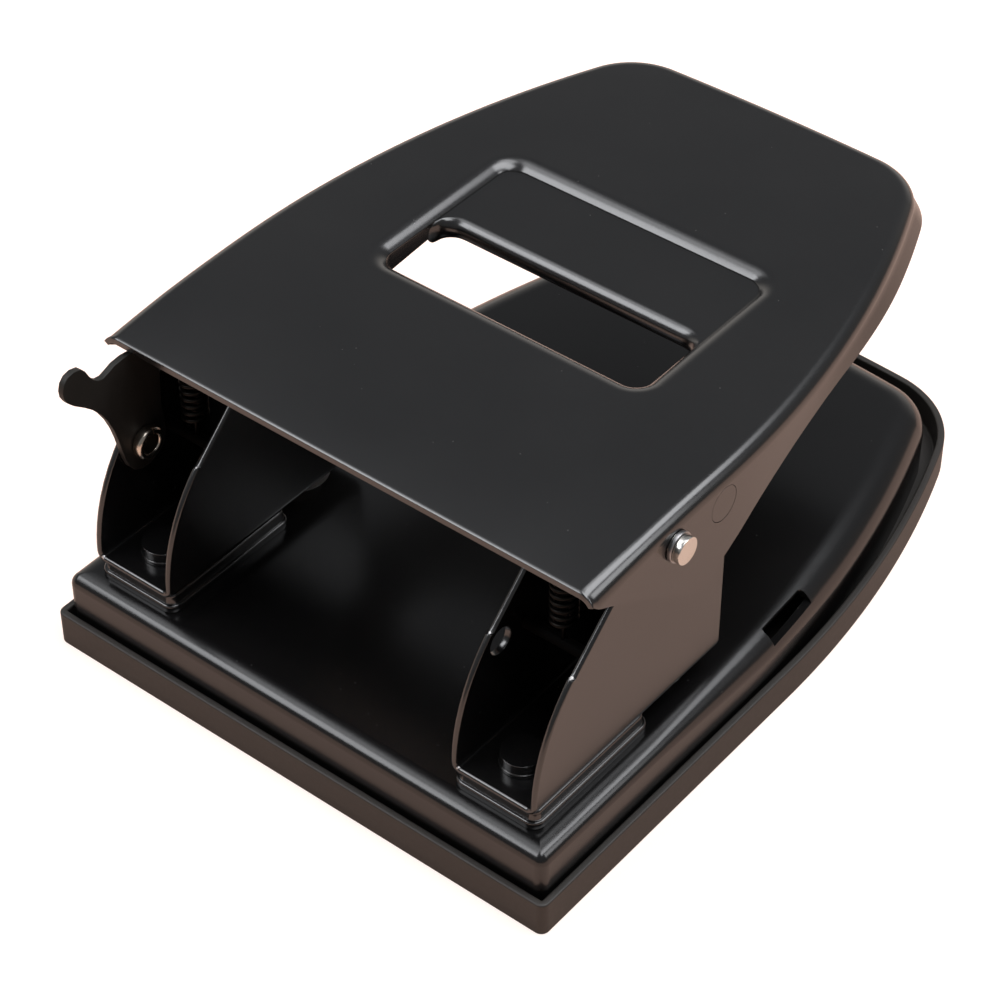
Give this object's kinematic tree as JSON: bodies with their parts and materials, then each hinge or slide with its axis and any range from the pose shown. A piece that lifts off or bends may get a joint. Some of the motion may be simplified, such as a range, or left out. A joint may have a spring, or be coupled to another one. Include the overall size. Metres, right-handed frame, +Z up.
{
  "type": "two-hole punch",
  "caption": "Desk paper punch with a wide pressed lever on a through pin, round punches, coil return springs, a lock plate, a sliding paper guide and a lift-off chip tray.",
  "frame": {"origin": "centre of the footprint, on the table under the tray", "axes": "+X to the right seen from the straight front, +Y toward the handle end, +Z up"},
  "size_m": [0.11, 0.1502, 0.0643],
  "materials": {
    "black_plastic": "satin moulded",
    "black_enamel": "gloss black enamel",
    "tool_steel": "ground",
    "bright_pin": "polished",
    "spring_steel": "dark drawn wire",
    "nickel_plate": "nickel plated"
  },
  "bodies": {
    "tray": {"chip_tray": "black_plastic"},
    "machine": {"base_shell": "black_enamel", "left_bracket": "black_enamel", "right_bracket": "black_enamel", "left_spacer": "black_enamel", "right_spacer": "black_enamel", "left_rivets": "black_enamel", "right_rivets": "black_enamel", "left_die": "tool_steel", "right_die": "tool_steel", "left_punch_guide": "tool_steel", "right_punch_guide": "tool_steel", "pivot_pin": "bright_pin", "left_pin_clip": "bright_pin", "right_pin_clip": "bright_pin", "left_spring": "spring_steel", "right_spring": "spring_steel", "left_spring_anchor": "spring_steel", "right_spring_anchor": "spring_steel", "lock_eyelet": "nickel_plate", "guide_straps": "black_enamel"},
    "handle": {"lever": "black_enamel", "drive_rod": "black_enamel", "left_spring_hanger": "spring_steel", "right_spring_hanger": "spring_steel"},
    "left_punch_group": {"left_punch": "tool_steel", "left_yoke": "tool_steel"},
    "right_punch_group": {"right_punch": "tool_steel", "right_yoke": "tool_steel"},
    "lock": {"lock_plate": "nickel_plate"},
    "guide": {"paper_guide": "tool_steel"}
  },
  "joints": [
    {"name": "tray_release", "type": "slide", "parent": "tray", "child": "machine", "axis": [0, 0, 1], "range_m": [0, 0.03]},
    {"name": "handle_press", "type": "hinge", "parent": "machine", "child": "handle", "pos_m": [0, -0.03809, 0.0582], "axis": [-1, 0, 0], "range_deg": [0, 22], "stiffness_Nm_per_rad": 0.6, "springref_deg": -11.46, "deforming": ["left_spring", "right_spring"]},
    {"name": "left_punch_stroke", "type": "slide", "parent": "machine", "child": "left_punch_group", "axis": [0, 0, -1], "range_m": [0, 0.0049]},
    {"name": "right_punch_stroke", "type": "slide", "parent": "machine", "child": "right_punch_group", "axis": [0, 0, -1], "range_m": [0, 0.0049]},
    {"name": "lock_swing", "type": "hinge", "parent": "machine", "child": "lock", "pos_m": [-0.0469, -0.0579, 0.0404], "axis": [-1, 0, 0], "range_deg": [0, 20]},
    {"name": "guide_pull", "type": "slide", "parent": "machine", "child": "guide", "axis": [-1, 0, 0], "range_m": [0, 0.06]}
  ],
  "couplings": [
    {"joint": "left_punch_stroke", "follows": "handle_press", "m_per_rad": 0.01253},
    {"joint": "right_punch_stroke", "follows": "handle_press", "m_per_rad": 0.01253}
  ]
}
